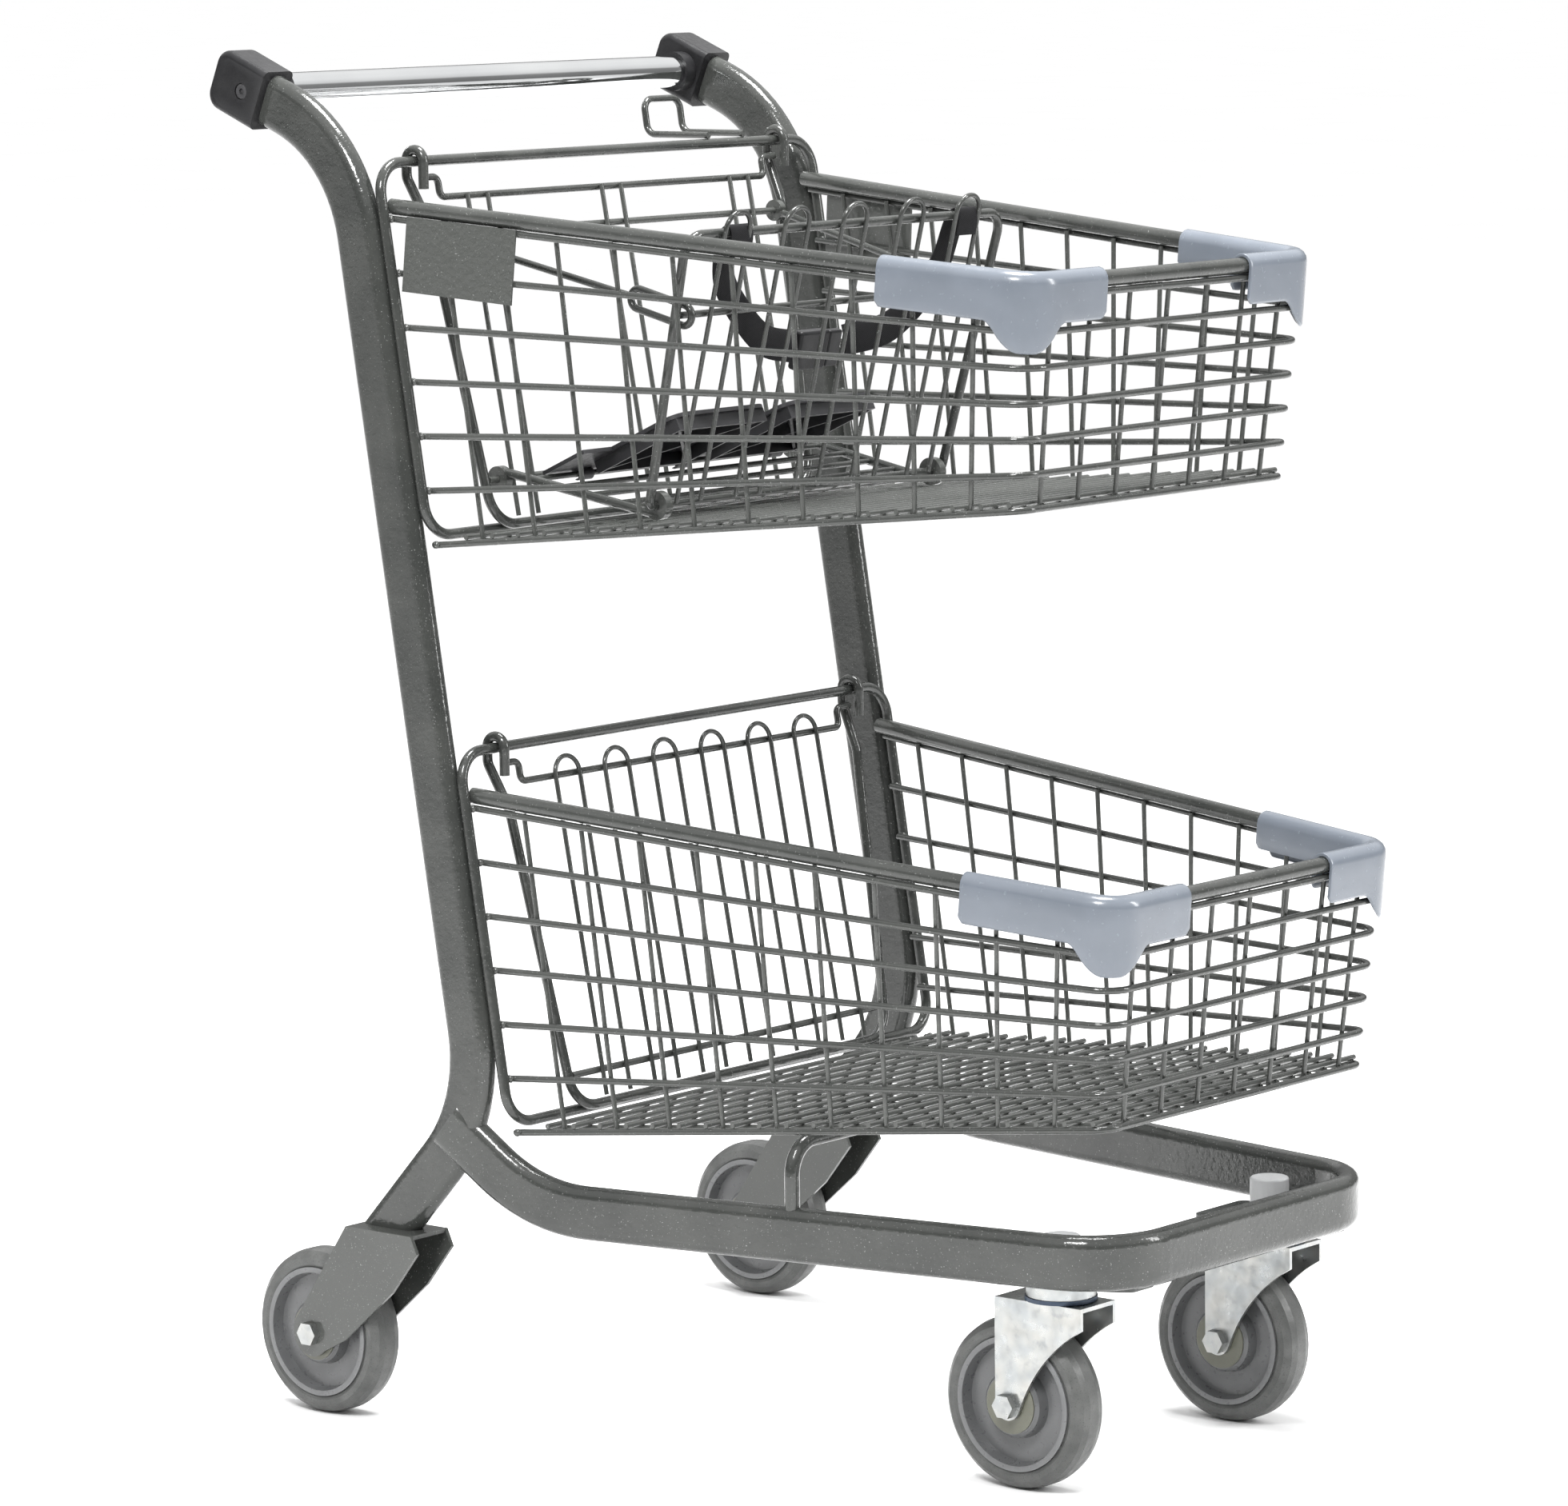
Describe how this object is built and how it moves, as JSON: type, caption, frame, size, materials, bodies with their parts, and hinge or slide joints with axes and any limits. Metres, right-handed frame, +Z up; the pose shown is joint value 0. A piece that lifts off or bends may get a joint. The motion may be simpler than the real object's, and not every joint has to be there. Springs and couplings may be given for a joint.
{
  "type": "shopping cart",
  "caption": "Two-tier wire shopping cart with nesting rear gates, a folding child seat, fixed rear wheels and swivel front casters.",
  "frame": {"origin": "on the floor, on the plane of symmetry, at the middle of the overall length", "axes": "+X is the direction of travel, +Z is up, +Y is to the left"},
  "size_m": [0.767, 0.5602, 1.02],
  "materials": {
    "powder_coat": "dark grey metallic powder coat",
    "handle_chrome": "polished",
    "black_plastic": "moulded, slightly glossy",
    "black_bolt": "black oxide",
    "bumper_plastic": "blue-grey moulded",
    "tread": "grey tread",
    "wheel_hub": "grey moulded",
    "wheel_bush": "olive grey",
    "zinc": "bright zinc plate",
    "seal_blue": "dark blue",
    "stem_grey": "light grey",
    "flap_plastic": "moulded black",
    "webbing": "woven belt"
  },
  "bodies": {
    "chassis": {"upright_right": "powder_coat", "upright_left": "powder_coat", "base_loop": "powder_coat", "basket_support": "powder_coat", "upper_hoop": "powder_coat", "lower_hoop": "powder_coat", "upper_rim": "powder_coat", "lower_rim": "powder_coat", "upper_basket_rows": "powder_coat", "lower_basket_rows": "powder_coat", "upper_basket_stays": "powder_coat", "lower_basket_stays": "powder_coat", "upper_floor_cross_wires": "powder_coat", "lower_floor_cross_wires": "powder_coat", "upper_floor_long_wires": "powder_coat", "lower_floor_long_wires": "powder_coat", "corner_plates": "powder_coat", "bag_hook": "powder_coat", "rear_fork_right": "powder_coat", "rear_fork_left": "powder_coat", "handle_bar": "handle_chrome", "handle_cap_right": "black_plastic", "handle_cap_left": "black_plastic", "cap_bolts": "black_bolt", "upper_bumper_left": "bumper_plastic", "upper_bumper_right": "bumper_plastic", "lower_bumper_left": "bumper_plastic", "lower_bumper_right": "bumper_plastic", "caster_heads": "zinc", "rear_axles": "zinc", "swivel_seals": "seal_blue", "stem_caps": "stem_grey"},
    "rear_wheel_right": {"rear_tyre_right": "tread", "rear_hub_right": "wheel_hub", "rear_bush_right": "wheel_bush"},
    "caster_right": {"caster_fork_right": "zinc", "front_axle_right": "zinc"},
    "front_wheel_right": {"front_tyre_right": "tread", "front_hub_right": "wheel_hub", "front_bush_right": "wheel_bush"},
    "rear_wheel_left": {"rear_tyre_left": "tread", "rear_hub_left": "wheel_hub", "rear_bush_left": "wheel_bush"},
    "caster_left": {"caster_fork_left": "zinc", "front_axle_left": "zinc"},
    "front_wheel_left": {"front_tyre_left": "tread", "front_hub_left": "wheel_hub", "front_bush_left": "wheel_bush"},
    "lower_gate": {"lower_gate_frame": "powder_coat", "lower_gate_wires": "powder_coat"},
    "upper_gate": {"upper_gate_frame": "powder_coat", "upper_gate_wires": "powder_coat"},
    "seat_pan": {"seat_pan": "powder_coat"},
    "seat_back": {"seat_back_frame": "powder_coat", "seat_back_wires": "powder_coat", "seat_straps": "webbing", "buckle": "black_plastic"},
    "seat_arms": {"seat_arms": "powder_coat"},
    "seat_flap": {"seat_flap": "flap_plastic"}
  },
  "joints": [
    {"name": "rear_wheel_spin_right", "type": "hinge", "parent": "chassis", "child": "rear_wheel_right", "pos_m": [-0.29848, -0.2535, 0.0625], "axis": [0, 1, 0], "continuous": true},
    {"name": "caster_swivel_right", "type": "hinge", "parent": "chassis", "child": "caster_right", "pos_m": [0.29752, -0.127, 0.15], "axis": [0, 0, 1], "continuous": true},
    {"name": "front_wheel_spin_right", "type": "hinge", "parent": "caster_right", "child": "front_wheel_right", "pos_m": [0.26402, -0.127, 0.0625], "axis": [0, 1, 0], "continuous": true},
    {"name": "rear_wheel_spin_left", "type": "hinge", "parent": "chassis", "child": "rear_wheel_left", "pos_m": [-0.29848, 0.2535, 0.0625], "axis": [0, 1, 0], "continuous": true},
    {"name": "caster_swivel_left", "type": "hinge", "parent": "chassis", "child": "caster_left", "pos_m": [0.29752, 0.127, 0.15], "axis": [0, 0, 1], "continuous": true},
    {"name": "front_wheel_spin_left", "type": "hinge", "parent": "caster_left", "child": "front_wheel_left", "pos_m": [0.26402, 0.127, 0.0625], "axis": [0, 1, 0], "continuous": true},
    {"name": "upper_gate_swing", "type": "hinge", "parent": "chassis", "child": "upper_gate", "pos_m": [-0.22929, 0, 0.9382], "axis": [0, -1, 0], "range_deg": [0, 75]},
    {"name": "lower_gate_swing", "type": "hinge", "parent": "chassis", "child": "lower_gate", "pos_m": [-0.16033, 0, 0.5091], "axis": [0, -1, 0], "range_deg": [0, 75]},
    {"name": "seat_pan_fold", "type": "hinge", "parent": "upper_gate", "child": "seat_pan", "pos_m": [-0.18448, 0, 0.7035], "axis": [0, -1, 0], "range_deg": [0, 40]},
    {"name": "seat_back_fold", "type": "hinge", "parent": "seat_pan", "child": "seat_back", "pos_m": [-0.03848, 0, 0.6905], "axis": [0, -1, 0], "range_deg": [-40, 0]},
    {"name": "seat_arms_fold", "type": "hinge", "parent": "upper_gate", "child": "seat_arms", "pos_m": [-0.21895, 0, 0.884], "axis": [0, -1, 0], "range_deg": [0, 26.5]},
    {"name": "seat_flap_tilt", "type": "hinge", "parent": "seat_pan", "child": "seat_flap", "pos_m": [-0.15528, 0, 0.70442], "axis": [0, -1, 0], "range_deg": [0, 35]}
  ],
  "couplings": [
    {"joint": "seat_back_fold", "follows": "seat_pan_fold", "ratio": -1},
    {"joint": "seat_arms_fold", "follows": "seat_pan_fold", "ratio": 0.658}
  ]
}
